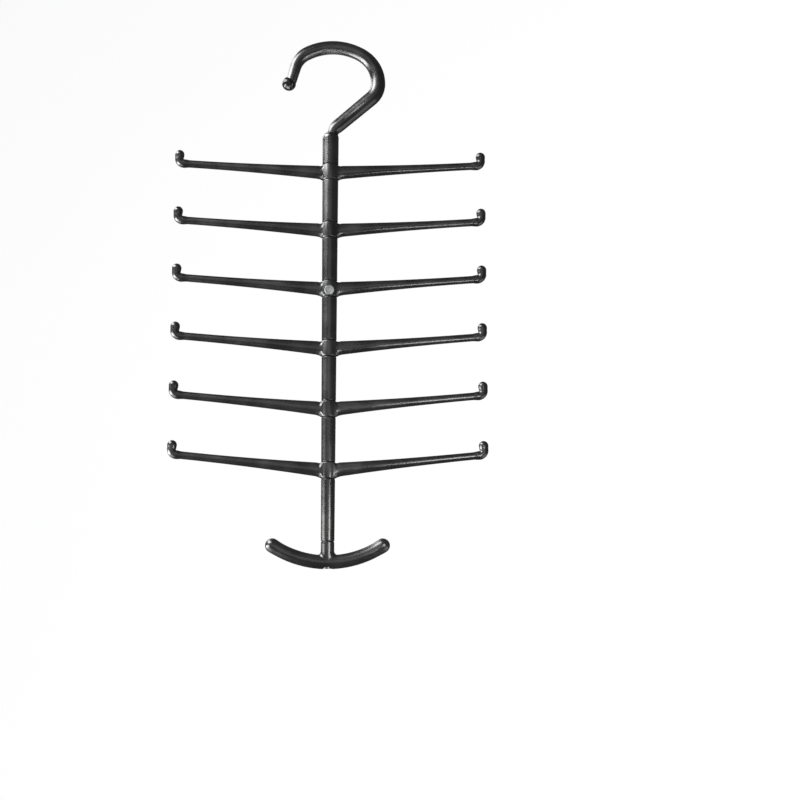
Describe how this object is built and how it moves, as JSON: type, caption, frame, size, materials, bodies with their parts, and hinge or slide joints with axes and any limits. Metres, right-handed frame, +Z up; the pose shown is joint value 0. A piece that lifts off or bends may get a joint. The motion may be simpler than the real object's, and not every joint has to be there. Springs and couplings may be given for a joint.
{
  "type": "tie hanger",
  "caption": "Closet hanger: a thick question-mark hook, a tapering post of stacked sleeves with turning pairs of upswept arms with turned-up tips, and an upturned bar at the foot.",
  "frame": {"origin": "underside of the hook's crown, in line with the post's axis, where the hanger rests on a rail", "axes": "+Z up along the post, the arms lie along X at rest, -Y is the front and the hook opens towards -X"},
  "size_m": [0.2592, 0.014, 0.4456],
  "materials": {
    "gunmetal": "dark gunmetal lacquer over a casting, glossy, with soft highlights",
    "post_gunmetal": "dark gunmetal lacquer on turned tube, glossy, a little smoother than the castings",
    "ball_black": "glossy near-black cap",
    "spindle_steel": "bright drawn steel",
    "bush_brass": "turned brass, unpolished",
    "washer_black": "smooth slippery plastic",
    "disc_satin": "satin pale metal with a turned hollow",
    "spring_steel": "spring steel",
    "screw_steel": "zinc plated steel"
  },
  "bodies": {
    "root": {"hook": "gunmetal", "hook_ball": "ball_black", "spindle": "spindle_steel", "stem_pin": "spindle_steel", "top_sleeve": "post_gunmetal", "spacer_1": "post_gunmetal", "spacer_2": "post_gunmetal", "spacer_3": "post_gunmetal", "spacer_4": "post_gunmetal", "spacer_5": "post_gunmetal", "spacer_6": "post_gunmetal", "washers": "washer_black", "disc_spring": "spring_steel", "foot_bar": "gunmetal", "foot_screw": "screw_steel"},
    "tier_1": {"arm_pair_1": "gunmetal", "bush_1": "bush_brass"},
    "tier_2": {"arm_pair_2": "gunmetal", "bush_2": "bush_brass"},
    "tier_3": {"arm_pair_3": "gunmetal", "bush_3": "bush_brass", "pale_disc": "disc_satin"},
    "tier_4": {"arm_pair_4": "gunmetal", "bush_4": "bush_brass"},
    "tier_5": {"arm_pair_5": "gunmetal", "bush_5": "bush_brass"},
    "tier_6": {"arm_pair_6": "gunmetal", "bush_6": "bush_brass"}
  },
  "joints": [
    {"name": "tier_1_turn", "type": "hinge", "parent": "root", "child": "tier_1", "pos_m": [0, 0, -0.1055], "axis": [0, 0, 1], "continuous": true},
    {"name": "tier_2_turn", "type": "hinge", "parent": "root", "child": "tier_2", "pos_m": [0, 0, -0.1555], "axis": [0, 0, 1], "continuous": true},
    {"name": "tier_3_turn", "type": "hinge", "parent": "root", "child": "tier_3", "pos_m": [0, 0, -0.2055], "axis": [0, 0, 1], "continuous": true},
    {"name": "tier_4_turn", "type": "hinge", "parent": "root", "child": "tier_4", "pos_m": [0, 0, -0.2555], "axis": [0, 0, 1], "continuous": true},
    {"name": "tier_5_turn", "type": "hinge", "parent": "root", "child": "tier_5", "pos_m": [0, 0, -0.3055], "axis": [0, 0, 1], "continuous": true},
    {"name": "tier_6_turn", "type": "hinge", "parent": "root", "child": "tier_6", "pos_m": [0, 0, -0.3555], "axis": [0, 0, 1], "continuous": true}
  ]
}
